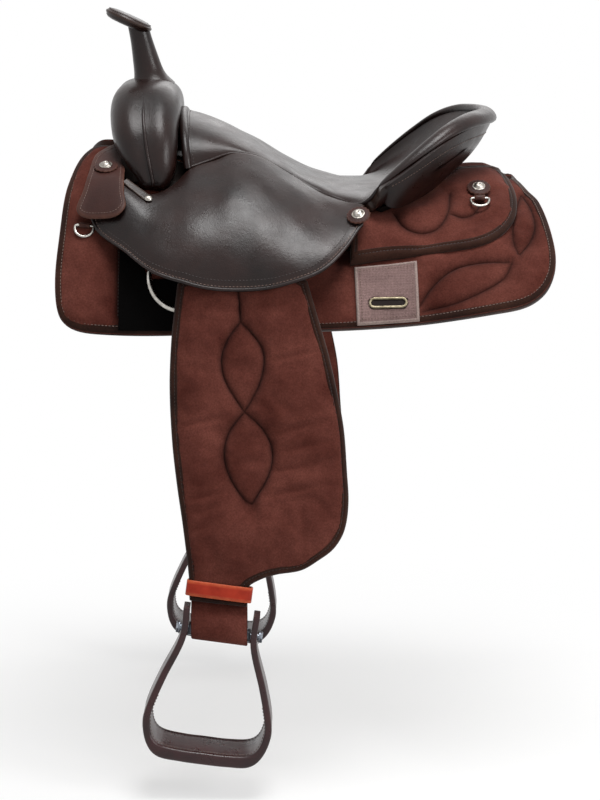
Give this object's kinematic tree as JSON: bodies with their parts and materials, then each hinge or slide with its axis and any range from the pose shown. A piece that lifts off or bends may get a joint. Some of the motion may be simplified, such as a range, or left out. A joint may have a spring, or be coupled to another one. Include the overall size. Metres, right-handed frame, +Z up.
{
  "type": "western trail saddle",
  "caption": "Western trail saddle with a horn, dished padded seat, leather jockeys, quilted cloth skirts and fenders, rigging rings and hanging stirrups.",
  "frame": {"origin": "on the ridge of the underside, where the saddle rests along the horse's spine, half way along the skirts", "axes": "+Z up, +X from the horn to the cantle (towards the horse's tail), -Y towards the horse's left, the mounting side"},
  "size_m": [0.6475, 0.675, 0.9627],
  "materials": {
    "cordura": "matt woven",
    "seat_leather": "semi-gloss",
    "dark_leather": "satin",
    "rigging_leather": "matt",
    "red_leather": "satin",
    "neoprene": "matt",
    "fleece": "woolly",
    "wood": "bare",
    "steel": "polished",
    "brass": "satin"
  },
  "bodies": {
    "root": {"cantle_back": "seat_leather", "cantle_roll": "seat_leather", "fleece_left": "fleece", "fleece_right": "fleece", "fork_cover": "seat_leather", "front_concho_left": "steel", "front_concho_right": "steel", "front_jockey_left": "seat_leather", "front_jockey_right": "seat_leather", "ground_seat": "rigging_leather", "horn_cap": "seat_leather", "horn_post": "steel", "horn_wrap": "seat_leather", "rear_concho_left": "steel", "rear_concho_right": "steel", "rear_jockey_left": "cordura", "rear_jockey_right": "cordura", "rear_rigging_tab_left": "rigging_leather", "rear_rigging_tab_right": "rigging_leather", "rear_slot_plate_left": "brass", "rear_slot_plate_right": "brass", "rigging_panel_left": "neoprene", "rigging_panel_right": "neoprene", "rigging_strap_left": "rigging_leather", "rigging_strap_right": "rigging_leather", "seat": "seat_leather", "seat_concho_left": "steel", "seat_concho_right": "steel", "seat_jockey_left": "seat_leather", "seat_jockey_right": "seat_leather", "skirt_left": "cordura", "skirt_right": "cordura", "stirrup_leather_bight_left": "rigging_leather", "stirrup_leather_bight_right": "rigging_leather", "tree_bar_left": "wood", "tree_bar_right": "wood", "tree_cantle": "wood", "tree_fork": "wood"},
    "right_swing": {"fender_tab_right": "cordura"},
    "right_lift": {"fender_right": "cordura", "stirrup_leather_right": "cordura", "leather_buckle_right": "steel", "hobble_strap_right": "red_leather"},
    "right_sleeve": {"buckle_sleeve_right": "steel"},
    "right_stirrup": {"stirrup_right": "dark_leather", "stirrup_bolt_right": "steel"},
    "right_collar_dee": {"breast_collar_dee_right": "steel"},
    "right_rear_dee": {"rear_dee_right": "steel"},
    "right_rigging_dee": {"rigging_dee_right": "steel"},
    "left_swing": {"fender_tab_left": "cordura"},
    "left_lift": {"fender_left": "cordura", "stirrup_leather_left": "cordura", "leather_buckle_left": "steel", "hobble_strap_left": "red_leather"},
    "left_sleeve": {"buckle_sleeve_left": "steel"},
    "left_stirrup": {"stirrup_left": "dark_leather", "stirrup_bolt_left": "steel"},
    "left_collar_dee": {"breast_collar_dee_left": "steel"},
    "left_rear_dee": {"rear_dee_left": "steel"},
    "left_rigging_dee": {"rigging_dee_left": "steel"}
  },
  "joints": [
    {"name": "right_fender_swing", "type": "hinge", "parent": "root", "child": "right_swing", "pos_m": [-0.091, 0.24332, -0.06029], "axis": [0, 0.9903, 0.1392], "range_deg": [-15, 15]},
    {"name": "right_fender_lift", "type": "hinge", "parent": "right_swing", "child": "right_lift", "pos_m": [-0.085, 0.2475, -0.09], "axis": [1, 0, 0], "range_deg": [0, 75]},
    {"name": "right_sleeve_slide", "type": "slide", "parent": "right_lift", "child": "right_sleeve", "axis": [0, -0.1392, 0.9903], "range_m": [0, 0.035]},
    {"name": "right_stirrup_turn", "type": "hinge", "parent": "right_lift", "child": "right_stirrup", "pos_m": [-0.112, 0.29849, -0.50494], "axis": [0.9914, 0, -0.1305], "range_deg": [-60, 60]},
    {"name": "right_collar_dee_turn", "type": "hinge", "parent": "root", "child": "right_collar_dee", "pos_m": [-0.288, 0.18245, 0.00882], "axis": [0.9942, 0.0138, -0.1068], "range_deg": [0, 42]},
    {"name": "right_rear_dee_turn", "type": "hinge", "parent": "root", "child": "right_rear_dee", "pos_m": [0.228, 0.14393, 0.04064], "axis": [0.9999, 0.0142, 0.0013], "range_deg": [0, 80]},
    {"name": "right_rigging_dee_turn", "type": "hinge", "parent": "root", "child": "right_rigging_dee", "pos_m": [-0.15787, 0.21457, -0.045], "axis": [0.9975, 0.0199, -0.0678], "range_deg": [0, 6]},
    {"name": "left_fender_swing", "type": "hinge", "parent": "root", "child": "left_swing", "pos_m": [-0.091, -0.24332, -0.06029], "axis": [0, -0.9903, 0.1392], "range_deg": [-15, 15]},
    {"name": "left_fender_lift", "type": "hinge", "parent": "left_swing", "child": "left_lift", "pos_m": [-0.085, -0.2475, -0.09], "axis": [-1, 0, 0], "range_deg": [0, 75]},
    {"name": "left_sleeve_slide", "type": "slide", "parent": "left_lift", "child": "left_sleeve", "axis": [0, 0.1392, 0.9903], "range_m": [0, 0.035]},
    {"name": "left_stirrup_turn", "type": "hinge", "parent": "left_lift", "child": "left_stirrup", "pos_m": [-0.112, -0.29849, -0.50494], "axis": [-0.9914, 0, 0.1305], "range_deg": [-60, 60]},
    {"name": "left_collar_dee_turn", "type": "hinge", "parent": "root", "child": "left_collar_dee", "pos_m": [-0.288, -0.18245, 0.00882], "axis": [-0.9942, 0.0138, 0.1068], "range_deg": [0, 42]},
    {"name": "left_rear_dee_turn", "type": "hinge", "parent": "root", "child": "left_rear_dee", "pos_m": [0.228, -0.14393, 0.04064], "axis": [-0.9999, 0.0142, -0.0013], "range_deg": [0, 80]},
    {"name": "left_rigging_dee_turn", "type": "hinge", "parent": "root", "child": "left_rigging_dee", "pos_m": [-0.15787, -0.21457, -0.045], "axis": [-0.9975, 0.0199, 0.0678], "range_deg": [0, 6]}
  ]
}
